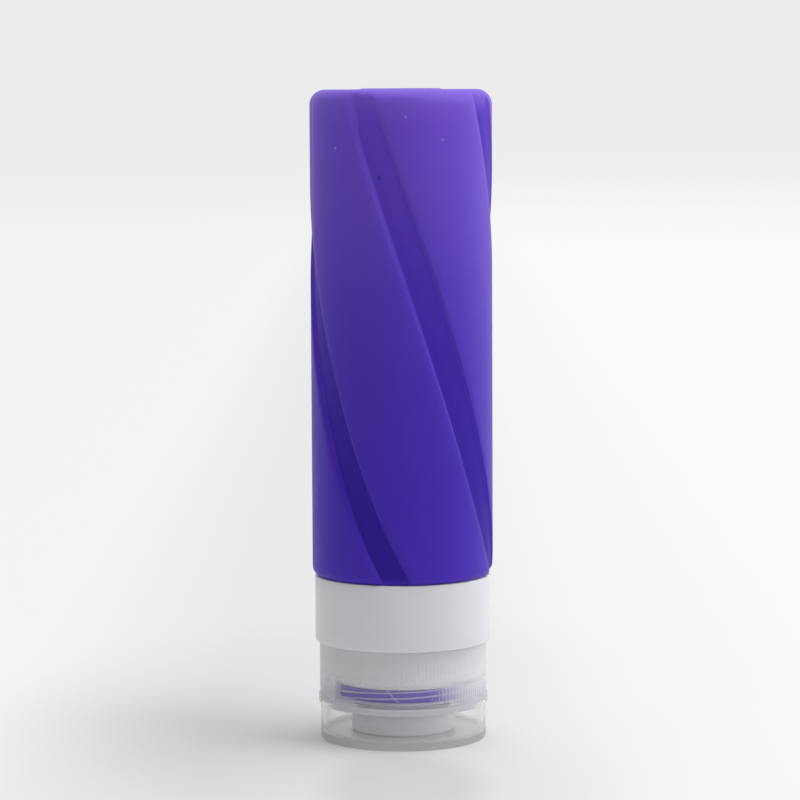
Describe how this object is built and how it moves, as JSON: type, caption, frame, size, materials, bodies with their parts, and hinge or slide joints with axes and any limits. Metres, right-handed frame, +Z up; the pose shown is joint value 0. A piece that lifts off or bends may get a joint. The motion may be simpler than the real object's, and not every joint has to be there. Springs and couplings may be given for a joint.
{
  "type": "silicone travel bottle",
  "caption": "Soft squeeze bottle with spiral grooves, translucent threaded collar, ribbed screw cap with slit valve, and clear flip lid that it stands on upside down.",
  "frame": {"origin": "centre of the lid's outer face, on which the bottle stands", "axes": "+Z up along the bottle's axis towards its closed end, -Y is the front, the lid's hinge is at the back (+Y)"},
  "size_m": [0.0376, 0.0376, 0.1352],
  "materials": {
    "silicone": "matt",
    "collar_plastic": "translucent, satin",
    "frosted_plastic": "frosted, translucent",
    "clear_plastic": "clear, slightly milky",
    "valve_silicone": "translucent, matt"
  },
  "bodies": {
    "bottle": {"bottle_body": "silicone", "neck_collar": "collar_plastic"},
    "valve_unit": {"valve": "valve_silicone", "valve_retainer": "frosted_plastic"},
    "cap": {"cap_base": "frosted_plastic", "hinge_film": "clear_plastic"},
    "lid": {"flip_lid": "clear_plastic"}
  },
  "joints": [
    {"name": "cap_lift", "type": "slide", "parent": "bottle", "child": "valve_unit", "axis": [0, 0, -1], "range_m": [0, 0.006]},
    {"name": "cap_turn", "type": "hinge", "parent": "valve_unit", "child": "cap", "pos_m": [0, 0, 0.0085], "axis": [0, 0, -1], "range_deg": [0, 540]},
    {"name": "lid_hinge", "type": "hinge", "parent": "cap", "child": "lid", "pos_m": [0, 0.01825, 0.00845], "axis": [1, 0, 0], "range_deg": [0, 180], "deforming": ["hinge_film"]}
  ],
  "couplings": [
    {"joint": "cap_lift", "follows": "cap_turn", "m_per_rad": 0.000636}
  ]
}
